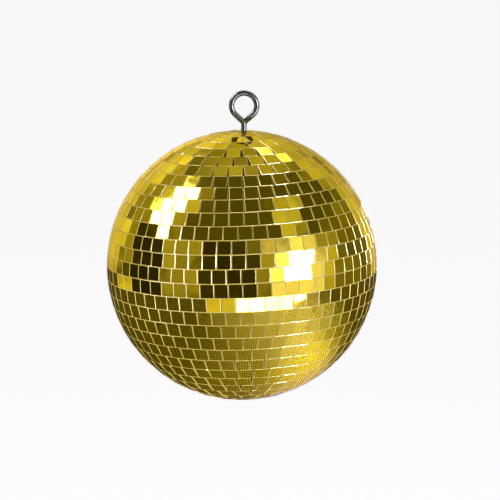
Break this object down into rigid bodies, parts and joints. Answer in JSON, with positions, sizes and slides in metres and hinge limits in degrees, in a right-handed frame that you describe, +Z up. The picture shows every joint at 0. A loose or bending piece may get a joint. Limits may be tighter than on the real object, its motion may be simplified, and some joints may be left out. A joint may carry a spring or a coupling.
{
  "type": "mirror ball",
  "caption": "Hanging mirror ball: rows of small square gold mirror tiles on a hollow round core that turns freely on a bent-wire eye bolt at the top.",
  "frame": {"origin": "the point inside the top of the eye where a hook or ring bears; the ball hangs below it", "axes": "+Z up along the shank of the eye bolt, +Y through the eye, +X across the eye"},
  "size_m": [0.2034, 0.2032, 0.2338],
  "materials": {
    "gold_mirror": "gold-lacquered silvered glass tiles, polished",
    "core_plastic": "black moulded plastic, matt",
    "polished_steel_wire": "bright drawn and plated steel wire",
    "zinc_plated_steel": "bright zinc plate, satin",
    "lock_nut_steel": "zinc plate, dull",
    "white_nylon": "moulded nylon, satin",
    "natural_nylon": "moulded nylon, natural colour",
    "blue_nylon": "moulded nylon, coloured"
  },
  "bodies": {
    "hanger": {"eye_bolt": "polished_steel_wire", "slip_washer": "white_nylon", "steel_washer": "zinc_plated_steel", "lock_nut": "lock_nut_steel", "nut_insert": "blue_nylon"},
    "ball": {"top_bush": "natural_nylon", "load_plate": "zinc_plated_steel", "upper_shell": "core_plastic", "lower_shell": "core_plastic", "mirror_row_01": "gold_mirror", "mirror_row_02": "gold_mirror", "mirror_row_03": "gold_mirror", "mirror_row_04": "gold_mirror", "mirror_row_05": "gold_mirror", "mirror_row_06": "gold_mirror", "mirror_row_07": "gold_mirror", "mirror_row_08": "gold_mirror", "mirror_row_09": "gold_mirror", "mirror_row_10": "gold_mirror", "mirror_row_11": "gold_mirror", "mirror_row_12": "gold_mirror", "mirror_row_13": "gold_mirror", "mirror_row_14": "gold_mirror", "mirror_row_15": "gold_mirror", "mirror_row_16": "gold_mirror", "mirror_row_17": "gold_mirror", "mirror_row_18": "gold_mirror", "mirror_row_19": "gold_mirror", "mirror_row_20": "gold_mirror", "mirror_row_21": "gold_mirror", "mirror_row_22": "gold_mirror", "mirror_row_23": "gold_mirror", "mirror_row_24": "gold_mirror", "mirror_row_25": "gold_mirror", "mirror_row_26": "gold_mirror", "mirror_row_27": "gold_mirror", "mirror_row_28": "gold_mirror", "mirror_row_29": "gold_mirror", "mirror_row_30": "gold_mirror", "mirror_row_31": "gold_mirror"}
  },
  "joints": [
    {"name": "ball_spin", "type": "hinge", "parent": "hanger", "child": "ball", "pos_m": [0, 0, -0.1277], "axis": [0, 0, 1], "continuous": true}
  ]
}
